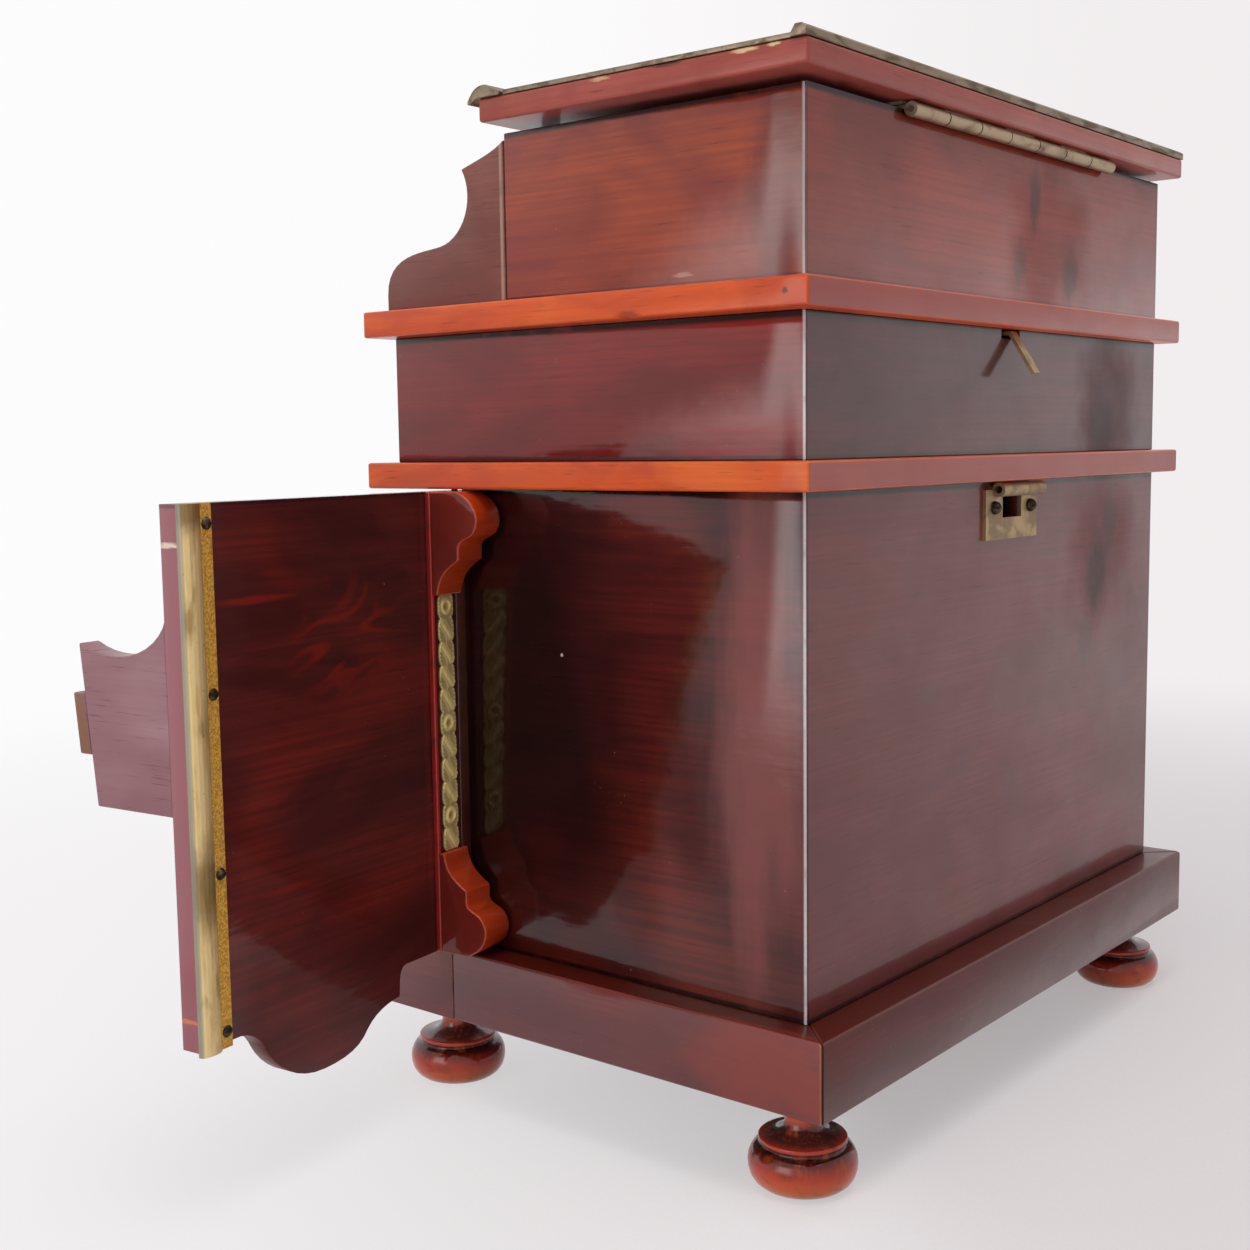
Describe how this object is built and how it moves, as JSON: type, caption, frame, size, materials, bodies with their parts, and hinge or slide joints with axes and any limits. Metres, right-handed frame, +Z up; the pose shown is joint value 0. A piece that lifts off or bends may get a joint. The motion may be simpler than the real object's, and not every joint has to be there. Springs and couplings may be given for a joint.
{
  "type": "cylinder music box",
  "caption": "Wooden musical cabinet with racked doors, drawer, hinged lid over a top box, bun feet and a pinned-cylinder movement behind its keyholed back.",
  "frame": {"origin": "on the floor under the middle of the case's width, and within 2 mm of the middle of the box that the cabinet fills with both doors open", "axes": "+Z up, +X to the right seen from the doors, -Y the side of the doors and drawer, +Y the back with the keyhole"},
  "size_m": [0.3344, 0.1294, 0.2229],
  "materials": {
    "case_wood": "glossy mahogany stain",
    "belt_wood": "glossy orange-red stain",
    "foot_wood": "turned, glossy red stain",
    "lid_wood": "satin red-brown stain, worn edges",
    "rack_wood": "thin matt stain",
    "inner_wood": "bare planed wood",
    "case_brass": "aged, dull",
    "case_steel": "dull",
    "pad_leather": "matt",
    "movement_iron": "nickel plated, satin",
    "movement_brass": "bright",
    "movement_steel": "satin",
    "spring_steel": "blued",
    "fan_plastic": "matt nylon"
  },
  "bodies": {
    "cabinet": {"bun_feet": "foot_wood", "plinth_sides": "case_wood", "plinth_back": "case_wood", "foot_blocks": "case_wood", "bottom_board": "case_wood", "lower_sides": "case_wood", "lower_back": "case_wood", "movement_partition": "inner_wood", "lower_belt_board": "belt_wood", "tier_sides": "case_wood", "tier_back": "case_wood", "upper_belt_board": "belt_wood", "upper_sides": "case_wood", "upper_back": "case_wood", "upper_front": "case_wood", "scroll_wings": "case_wood", "key_plate": "case_brass", "brass_screws": "case_brass", "door_pivot_pins": "case_steel", "lid_pads": "pad_leather", "hinge_fixed_leaf": "case_brass", "hinge_pin": "case_steel", "movement_battens": "inner_wood", "bedplate": "movement_iron", "movement_screws": "movement_steel", "bearing_bridges": "movement_brass", "steel_comb": "movement_steel", "governor_frame": "movement_brass", "ratchet_click": "movement_steel"},
    "lid": {"lid_board": "lid_wood", "lid_edge_strips": "case_brass", "lid_ogee_strip": "case_brass", "hinge_moving_leaf": "case_brass", "hinge_moving_screws": "case_brass"},
    "right_door": {"right_door_panel": "case_wood", "right_pilaster": "case_wood", "right_corbels": "belt_wood", "right_embossed_strip": "case_brass", "right_rack_boards": "rack_wood", "right_rack_guard": "rack_wood", "astragal_strip": "case_brass", "astragal_pins": "case_steel"},
    "left_door": {"left_door_panel": "case_wood", "left_pilaster": "case_wood", "left_corbels": "belt_wood", "left_embossed_strip": "case_brass", "left_rack_boards": "rack_wood", "left_rack_guard": "rack_wood"},
    "drawer": {"drawer_front": "case_wood", "drawer_box": "inner_wood", "drawer_bottom": "inner_wood", "drawer_knobs": "case_brass"},
    "barrel": {"spring_barrel": "movement_brass", "mainspring": "spring_steel"},
    "winding_arbor": {"winding_arbor": "movement_steel"},
    "cylinder": {"pinned_cylinder": "movement_brass", "cylinder_arbor": "movement_steel"},
    "governor_wheel": {"governor_wheel": "movement_brass"},
    "fan": {"fan_arbor": "fan_plastic"},
    "stop_lever": {"stop_lever": "movement_brass"}
  },
  "joints": [
    {"name": "lid_hinge", "type": "hinge", "parent": "cabinet", "child": "lid", "pos_m": [0, 0.0593, 0.2137], "axis": [-1, 0, 0], "range_deg": [0, 110]},
    {"name": "right_door_hinge", "type": "hinge", "parent": "cabinet", "child": "right_door", "pos_m": [0.0832, -0.0365, 0.09], "axis": [0, 0, 1], "range_deg": [-186.5, 0]},
    {"name": "left_door_hinge", "type": "hinge", "parent": "cabinet", "child": "left_door", "pos_m": [-0.0832, -0.0365, 0.09], "axis": [0, 0, -1], "range_deg": [-186.5, 0]},
    {"name": "drawer_slide", "type": "slide", "parent": "cabinet", "child": "drawer", "axis": [0, -1, 0], "range_m": [0, 0.055]},
    {"name": "cylinder_spin", "type": "hinge", "parent": "cabinet", "child": "cylinder", "pos_m": [0, 0.0365, 0.157], "axis": [0, 0, 1], "continuous": true},
    {"name": "barrel_spin", "type": "hinge", "parent": "cabinet", "child": "barrel", "pos_m": [0, 0.0435, 0.133], "axis": [0, 1, 0], "continuous": true},
    {"name": "governor_spin", "type": "hinge", "parent": "cabinet", "child": "governor_wheel", "pos_m": [-0.011, 0.0365, 0.158], "axis": [0, 0, 1], "continuous": true},
    {"name": "fan_spin", "type": "hinge", "parent": "cabinet", "child": "fan", "pos_m": [-0.01565, 0.0365, 0.1584], "axis": [0, 1, 0], "continuous": true},
    {"name": "winding_turn", "type": "hinge", "parent": "cabinet", "child": "winding_arbor", "pos_m": [0, 0.0475, 0.133], "axis": [0, -1, 0], "range_deg": [0, 1080]},
    {"name": "stop_lever_swing", "type": "hinge", "parent": "cabinet", "child": "stop_lever", "pos_m": [0, 0.05, 0.152], "axis": [0, 1, 0], "range_deg": [-6, 6]}
  ],
  "couplings": [
    {"joint": "barrel_spin", "follows": "cylinder_spin", "ratio": -0.25},
    {"joint": "governor_spin", "follows": "cylinder_spin", "ratio": -4},
    {"joint": "fan_spin", "follows": "cylinder_spin", "ratio": -40}
  ]
}
